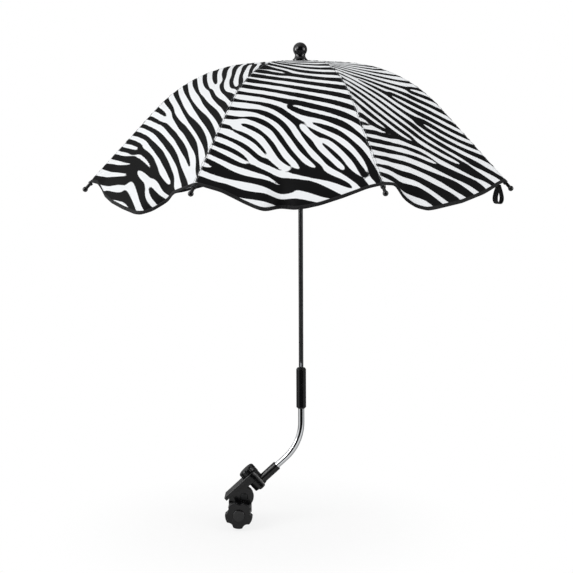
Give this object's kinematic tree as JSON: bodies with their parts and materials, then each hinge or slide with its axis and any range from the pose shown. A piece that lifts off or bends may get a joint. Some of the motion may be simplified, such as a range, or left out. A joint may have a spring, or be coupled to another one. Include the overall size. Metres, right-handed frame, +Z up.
{
  "type": "pram parasol",
  "caption": "Folding pram parasol with a zebra-print canopy on a pole, a bent chrome tube and a tilting screw clamp for a pram tube.",
  "frame": {"origin": "centre of the pram tube that the clamp grips", "axes": "+X along the gripped tube, to the right in the picture; +Y away from the viewer; +Z up along the pole"},
  "size_m": [0.7029, 0.7028, 0.8317],
  "materials": {
    "black_nylon": "moulded, fine grain",
    "gloss_black": "polished moulding",
    "jaw_rubber": "matt",
    "black_steel": "black oxide",
    "zinc_steel": "zinc plated",
    "bush_brass": "machined",
    "chrome_tube": "bright plated",
    "black_paint": "satin paint",
    "black_ribbon": "woven ribbon",
    "zebra_print": "printed plain weave, black on white"
  },
  "bodies": {
    "clamp": {"clamp_body": "black_nylon", "rear_jaw_pad": "jaw_rubber", "screw_bush": "bush_brass", "tilt_bolt": "black_steel"},
    "pad": {"pad_shoe": "zinc_steel", "pad_rubber": "jaw_rubber"},
    "knob": {"clamp_knob": "black_nylon", "clamp_screw": "zinc_steel", "knob_cap": "gloss_black"},
    "bracket": {"tilt_bracket": "black_nylon"},
    "arm": {"arm_socket": "black_nylon", "lower_tube": "chrome_tube", "swivel_bolt": "black_steel"},
    "lock_knob": {"swivel_knob": "black_nylon"},
    "coupler": {"coupler_sleeve": "black_nylon"},
    "pole": {"pole": "black_paint", "crown": "black_nylon", "crown_wire": "zinc_steel", "finial": "gloss_black", "canopy_cap": "black_ribbon"},
    "upper_catch": {"open_catch": "zinc_steel"},
    "lower_catch": {"closed_catch": "zinc_steel"},
    "runner": {"runner": "black_nylon", "runner_wire": "zinc_steel"},
    "rib_1": {"rib_1": "zinc_steel", "rib_tip_1": "gloss_black", "canopy_gore_1": "zebra_print"},
    "stretcher_1": {"stretcher_1": "zinc_steel"},
    "rib_2": {"rib_2": "zinc_steel", "rib_tip_2": "gloss_black", "canopy_gore_2": "zebra_print"},
    "stretcher_2": {"stretcher_2": "zinc_steel"},
    "rib_3": {"rib_3": "zinc_steel", "rib_tip_3": "gloss_black", "canopy_gore_3": "zebra_print"},
    "stretcher_3": {"stretcher_3": "zinc_steel"},
    "rib_4": {"rib_4": "zinc_steel", "rib_tip_4": "gloss_black", "canopy_gore_4": "zebra_print", "closure_strap": "black_ribbon"},
    "stretcher_4": {"stretcher_4": "zinc_steel"},
    "rib_5": {"rib_5": "zinc_steel", "rib_tip_5": "gloss_black", "canopy_gore_5": "zebra_print"},
    "stretcher_5": {"stretcher_5": "zinc_steel"},
    "rib_6": {"rib_6": "zinc_steel", "rib_tip_6": "gloss_black", "canopy_gore_6": "zebra_print"},
    "stretcher_6": {"stretcher_6": "zinc_steel"},
    "rib_7": {"rib_7": "zinc_steel", "rib_tip_7": "gloss_black", "canopy_gore_7": "zebra_print"},
    "stretcher_7": {"stretcher_7": "zinc_steel"},
    "rib_8": {"rib_8": "zinc_steel", "rib_tip_8": "gloss_black", "canopy_gore_8": "zebra_print"},
    "stretcher_8": {"stretcher_8": "zinc_steel"}
  },
  "joints": [
    {"name": "pad_slide", "type": "slide", "parent": "clamp", "child": "pad", "axis": [0, -1, 0], "range_m": [-0.005, 0.01]},
    {"name": "knob_turn", "type": "hinge", "parent": "pad", "child": "knob", "pos_m": [0, 0, 0], "axis": [0, -1, 0], "range_deg": [-900, 1800]},
    {"name": "tilt", "type": "hinge", "parent": "clamp", "child": "bracket", "pos_m": [0.0083, -0.0293, 0.0275], "axis": [0, 1, 0], "range_deg": [-5, 60]},
    {"name": "arm_swivel", "type": "hinge", "parent": "bracket", "child": "arm", "pos_m": [0.03259, -0.0293, 0.04984], "axis": [-0.6769, 0, 0.7361], "range_deg": [-90, 90]},
    {"name": "lock_knob_turn", "type": "hinge", "parent": "arm", "child": "lock_knob", "pos_m": [0.03259, -0.0293, 0.04984], "axis": [-0.6769, 0, 0.7361], "range_deg": [0, 540]},
    {"name": "pole_turn", "type": "hinge", "parent": "arm", "child": "coupler", "pos_m": [0.10845, -0.0293, 0.2], "axis": [0, 0, 1], "continuous": true},
    {"name": "pole_pull", "type": "slide", "parent": "coupler", "child": "pole", "axis": [0, 0, 1], "range_m": [0, 0.045]},
    {"name": "upper_catch_press", "type": "slide", "parent": "pole", "child": "upper_catch", "axis": [0.0523, 0.9986, 0], "range_m": [0, 0.0022], "stiffness_N_per_m": 400},
    {"name": "lower_catch_press", "type": "slide", "parent": "pole", "child": "lower_catch", "axis": [0.0523, 0.9986, 0], "range_m": [0, 0.0022], "stiffness_N_per_m": 400},
    {"name": "canopy_fold", "type": "hinge", "parent": "pole", "child": "rib_1", "pos_m": [0.10091, -0.03197, 0.76924], "axis": [0.3338, -0.9426, 0], "range_deg": [0, 59], "deforming": ["canopy_gore_1"]},
    {"name": "rib_2_fold", "type": "hinge", "parent": "pole", "child": "rib_2", "pos_m": [0.105, -0.03652, 0.76924], "axis": [0.9026, -0.4305, 0], "range_deg": [0, 59], "deforming": ["canopy_gore_2"]},
    {"name": "rib_3_fold", "type": "hinge", "parent": "pole", "child": "rib_3", "pos_m": [0.11112, -0.03684, 0.76924], "axis": [0.9426, 0.3338, 0], "range_deg": [0, 59], "deforming": ["canopy_gore_3"]},
    {"name": "rib_4_fold", "type": "hinge", "parent": "pole", "child": "rib_4", "pos_m": [0.11567, -0.03274, 0.76924], "axis": [0.4305, 0.9026, 0], "range_deg": [0, 59], "deforming": ["canopy_gore_4", "closure_strap"]},
    {"name": "rib_5_fold", "type": "hinge", "parent": "pole", "child": "rib_5", "pos_m": [0.11599, -0.02663, 0.76924], "axis": [-0.3338, 0.9426, 0], "range_deg": [0, 59], "deforming": ["canopy_gore_5"]},
    {"name": "rib_6_fold", "type": "hinge", "parent": "pole", "child": "rib_6", "pos_m": [0.11189, -0.02208, 0.76924], "axis": [-0.9026, 0.4305, 0], "range_deg": [0, 59], "deforming": ["canopy_gore_6"]},
    {"name": "rib_7_fold", "type": "hinge", "parent": "pole", "child": "rib_7", "pos_m": [0.10578, -0.02176, 0.76924], "axis": [-0.9426, -0.3338, 0], "range_deg": [0, 59], "deforming": ["canopy_gore_7"]},
    {"name": "rib_8_fold", "type": "hinge", "parent": "pole", "child": "rib_8", "pos_m": [0.10123, -0.02586, 0.76924], "axis": [-0.4305, -0.9026, 0], "range_deg": [0, 59], "deforming": ["canopy_gore_8"]},
    {"name": "stretcher_1_turn", "type": "hinge", "parent": "rib_1", "child": "stretcher_1", "pos_m": [-0.09989, -0.10307, 0.7096], "axis": [0.3338, -0.9426, 0], "range_deg": [-118.5, 0.5]},
    {"name": "stretcher_2_turn", "type": "hinge", "parent": "rib_2", "child": "stretcher_2", "pos_m": [0.0133, -0.22878, 0.7096], "axis": [0.9026, -0.4305, 0], "range_deg": [-118.5, 0.5]},
    {"name": "stretcher_3_turn", "type": "hinge", "parent": "rib_3", "child": "stretcher_3", "pos_m": [0.18222, -0.23763, 0.7096], "axis": [0.9426, 0.3338, 0], "range_deg": [-118.5, 0.5]},
    {"name": "stretcher_4_turn", "type": "hinge", "parent": "rib_4", "child": "stretcher_4", "pos_m": [0.30793, -0.12445, 0.7096], "axis": [0.4305, 0.9026, 0], "range_deg": [-118.5, 0.5]},
    {"name": "stretcher_5_turn", "type": "hinge", "parent": "rib_5", "child": "stretcher_5", "pos_m": [0.31678, 0.04447, 0.7096], "axis": [-0.3338, 0.9426, 0], "range_deg": [-118.5, 0.5]},
    {"name": "stretcher_6_turn", "type": "hinge", "parent": "rib_6", "child": "stretcher_6", "pos_m": [0.20359, 0.17018, 0.7096], "axis": [-0.9026, 0.4305, 0], "range_deg": [-118.5, 0.5]},
    {"name": "stretcher_7_turn", "type": "hinge", "parent": "rib_7", "child": "stretcher_7", "pos_m": [0.03467, 0.17903, 0.7096], "axis": [-0.9426, -0.3338, 0], "range_deg": [-118.5, 0.5]},
    {"name": "stretcher_8_turn", "type": "hinge", "parent": "rib_8", "child": "stretcher_8", "pos_m": [-0.09103, 0.06585, 0.7096], "axis": [-0.4305, -0.9026, 0], "range_deg": [-118.5, 0.5]},
    {"name": "runner_slide", "type": "slide", "parent": "pole", "child": "runner", "axis": [0, 0, -1], "range_m": [0, 0.30782]}
  ],
  "couplings": [
    {"joint": "knob_turn", "follows": "pad_slide", "rad_per_m": 3141.6},
    {"joint": "rib_2_fold", "follows": "canopy_fold", "ratio": 1},
    {"joint": "rib_3_fold", "follows": "canopy_fold", "ratio": 1},
    {"joint": "rib_4_fold", "follows": "canopy_fold", "ratio": 1},
    {"joint": "rib_5_fold", "follows": "canopy_fold", "ratio": 1},
    {"joint": "rib_6_fold", "follows": "canopy_fold", "ratio": 1},
    {"joint": "rib_7_fold", "follows": "canopy_fold", "ratio": 1},
    {"joint": "rib_8_fold", "follows": "canopy_fold", "ratio": 1},
    {"joint": "stretcher_1_turn", "follows": "canopy_fold", "ratio": -2},
    {"joint": "stretcher_2_turn", "follows": "canopy_fold", "ratio": -2},
    {"joint": "stretcher_3_turn", "follows": "canopy_fold", "ratio": -2},
    {"joint": "stretcher_4_turn", "follows": "canopy_fold", "ratio": -2},
    {"joint": "stretcher_5_turn", "follows": "canopy_fold", "ratio": -2},
    {"joint": "stretcher_6_turn", "follows": "canopy_fold", "ratio": -2},
    {"joint": "stretcher_7_turn", "follows": "canopy_fold", "ratio": -2},
    {"joint": "stretcher_8_turn", "follows": "canopy_fold", "ratio": -2},
    {"joint": "runner_slide", "follows": "canopy_fold", "m_per_rad": 0.29844}
  ]
}
